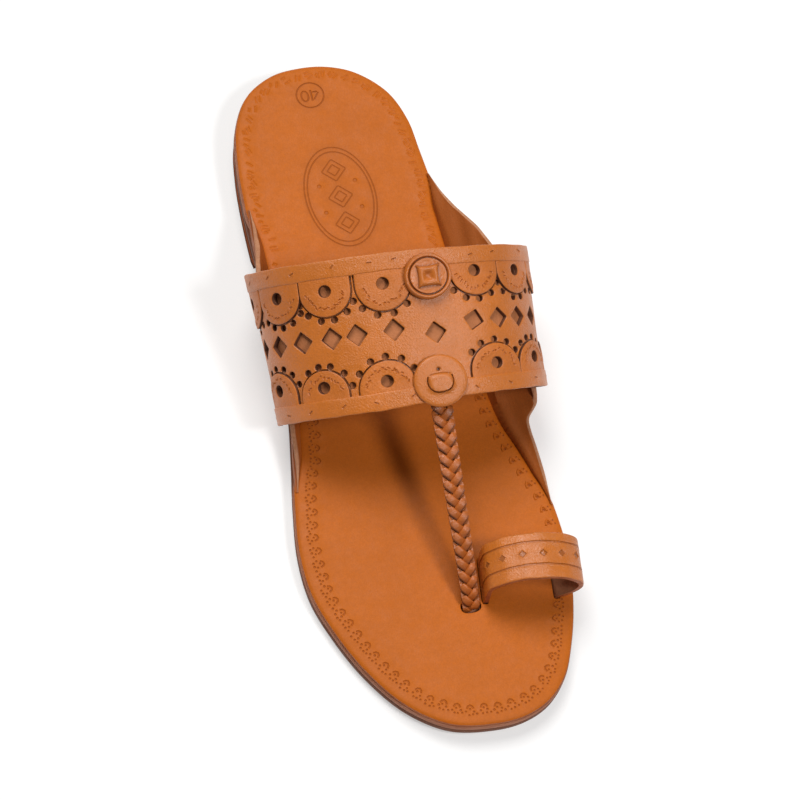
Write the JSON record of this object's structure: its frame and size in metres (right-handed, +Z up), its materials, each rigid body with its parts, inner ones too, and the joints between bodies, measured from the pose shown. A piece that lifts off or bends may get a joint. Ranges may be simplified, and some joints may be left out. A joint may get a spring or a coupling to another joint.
{
  "type": "kolhapuri sandal",
  "caption": "Tan leather kolhapuri sandal: pierced instep band with scallops, braided thong, toe loop, side ears, layered sole and low stacked heel.",
  "frame": {"origin": "on the floor, under the middle of the shoe's box", "axes": "+X to the big-toe side, +Y to the heel, +Z up; this is the right shoe"},
  "size_m": [0.104, 0.2642, 0.0728],
  "materials": {
    "footbed_leather": "satin",
    "band_leather": "satin",
    "ear_leather": "satin",
    "rosette_leather": "satin",
    "sole_leather": "satin"
  },
  "bodies": {
    "root": {"outsole": "sole_leather", "heel": "sole_leather", "footbed": "footbed_leather", "ear_medial": "ear_leather", "ear_lateral": "ear_leather", "upper": "band_leather", "disc": "band_leather", "rosette": "rosette_leather", "toe_loop": "band_leather"}
  },
  "joints": []
}
